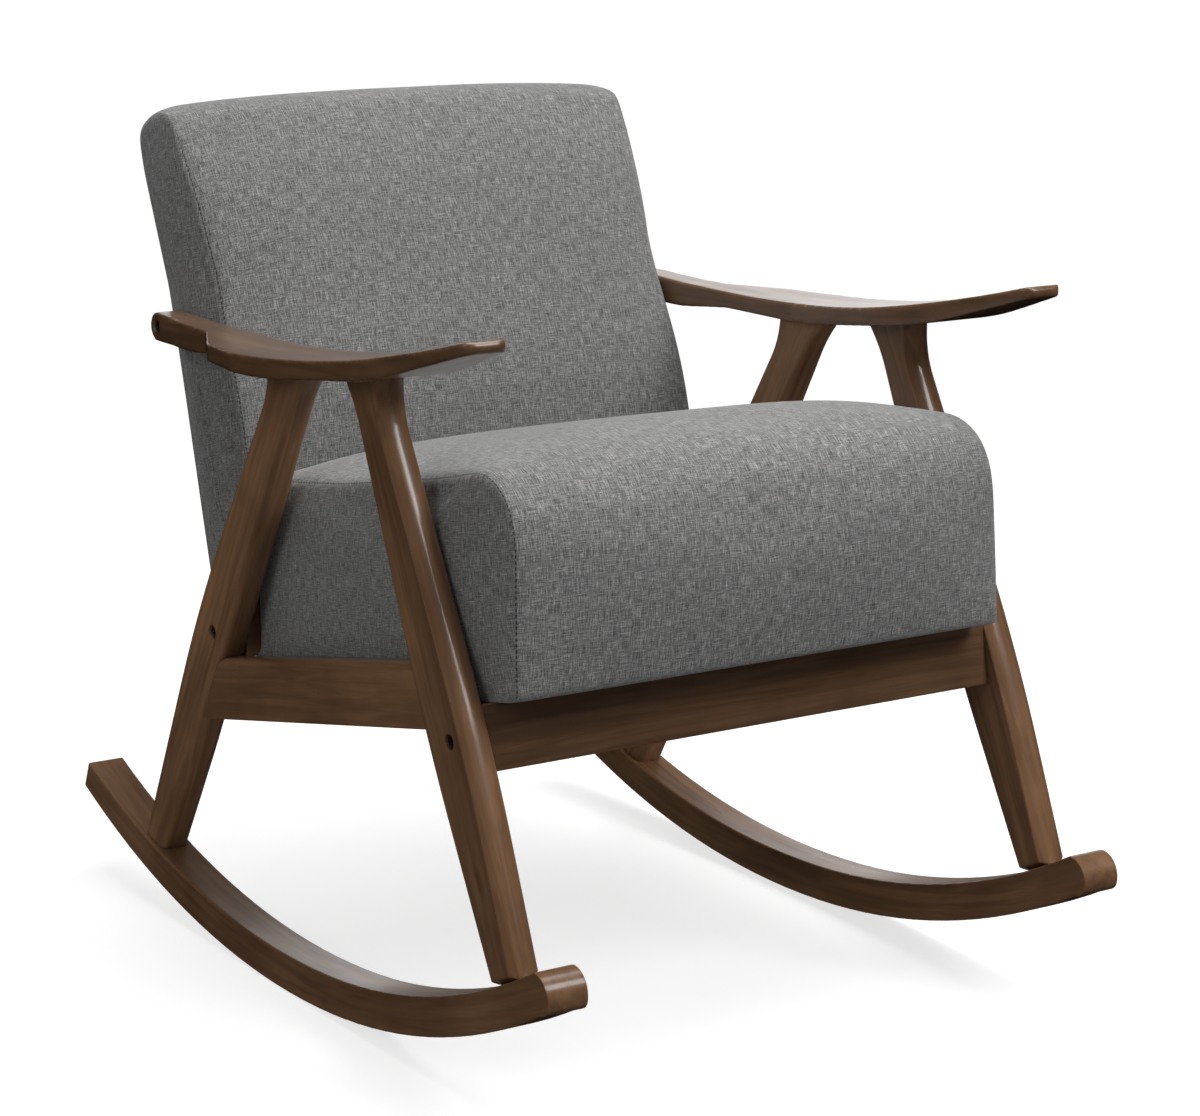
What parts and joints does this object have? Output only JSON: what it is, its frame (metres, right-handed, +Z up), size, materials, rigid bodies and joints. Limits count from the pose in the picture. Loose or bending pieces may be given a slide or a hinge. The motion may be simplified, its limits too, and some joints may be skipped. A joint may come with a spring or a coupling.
{
  "type": "rocking chair",
  "caption": "Upholstered rocking chair with a slanted wooden frame, shaped open armrests and two curved rockers to sit in and rock on.",
  "frame": {"origin": "on the floor, below the centre of the chair's bounding box", "axes": "+X towards the sitter's left, +Y rearward, +Z up; the chair faces -Y and X = 0 is its mirror plane"},
  "size_m": [0.6998, 0.9402, 0.833],
  "materials": {
    "stained_wood": "satin dark walnut stain",
    "inner_wood": "unfinished",
    "upholstery": "grey linen-look weave",
    "cover_cloth": "black non-woven",
    "webbing": "woven strap",
    "spring_steel": "bare wire",
    "black_bolts": "black oxide",
    "zinc": "zinc plated",
    "bush_plastic": "matte",
    "dowel_wood": "beech, unfinished"
  },
  "bodies": {
    "root": {"rocker_left": "stained_wood", "front_leg_left": "stained_wood", "rear_leg_left": "stained_wood", "armrest_left": "stained_wood", "side_rail_left": "stained_wood", "rocker_right": "stained_wood", "front_leg_right": "stained_wood", "rear_leg_right": "stained_wood", "armrest_right": "stained_wood", "side_rail_right": "stained_wood", "front_rail": "stained_wood", "rear_rail": "stained_wood", "seat_ledger": "inner_wood", "seat_cleat_left": "inner_wood", "seat_cleat_right": "inner_wood", "corner_blocks": "inner_wood", "seat_frame_left": "inner_wood", "seat_frame_right": "inner_wood", "seat_frame_front": "inner_wood", "seat_frame_back": "inner_wood", "back_stile_left": "inner_wood", "back_stile_right": "inner_wood", "back_rail_bottom": "inner_wood", "back_rail_middle": "inner_wood", "back_rail_top": "inner_wood", "seat_cushion": "upholstery", "back_cushion": "upholstery", "back_panel": "upholstery", "dust_cover": "cover_cloth", "back_webbing": "webbing", "seat_springs": "spring_steel", "spring_clips": "spring_steel", "front_leg_bolts": "black_bolts", "rear_leg_bolts": "black_bolts", "armrest_bolts": "black_bolts", "barrel_nuts": "zinc", "back_inserts": "zinc", "seat_screws": "zinc", "back_screws": "zinc", "back_bushes": "bush_plastic", "armrest_dowels": "dowel_wood", "rocker_dowels": "dowel_wood", "side_rail_dowels": "dowel_wood"}
  },
  "joints": []
}
